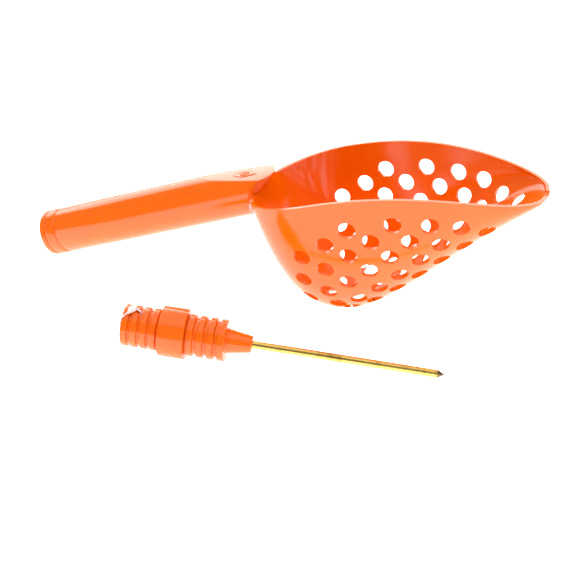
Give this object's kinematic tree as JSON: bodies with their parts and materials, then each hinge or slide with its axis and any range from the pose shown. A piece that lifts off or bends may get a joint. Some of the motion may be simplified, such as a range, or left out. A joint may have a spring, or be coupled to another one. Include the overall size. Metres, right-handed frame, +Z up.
{
  "type": "beach sand scoop",
  "caption": "Perforated spade-shaped sand scoop on a hollow tube handle, with a loose probe that stows in the handle.",
  "frame": {"origin": "on the ground, under the middle of the box that holds the scoop and the probe", "axes": "+X from the handle's mouth to the bowl's tip, +Y away from the probe, +Z up"},
  "size_m": [0.3528, 0.1633, 0.1037],
  "materials": {
    "orange_plastic": "glossy, slightly translucent moulding",
    "rod_brass": "drawn rod, ground point",
    "clear_nylon": "milky moulded nylon"
  },
  "bodies": {
    "scoop": {"scoop_bowl": "orange_plastic", "handle_tube": "orange_plastic"},
    "probe": {"probe_plug": "orange_plastic", "probe_rod": "rod_brass", "tag_loop": "clear_nylon"}
  },
  "joints": [
    {"name": "probe_slide", "type": "slide", "parent": "scoop", "child": "probe", "axis": [-0.9877, -0.1564, 0], "range_m": [0, 0.16]}
  ]
}
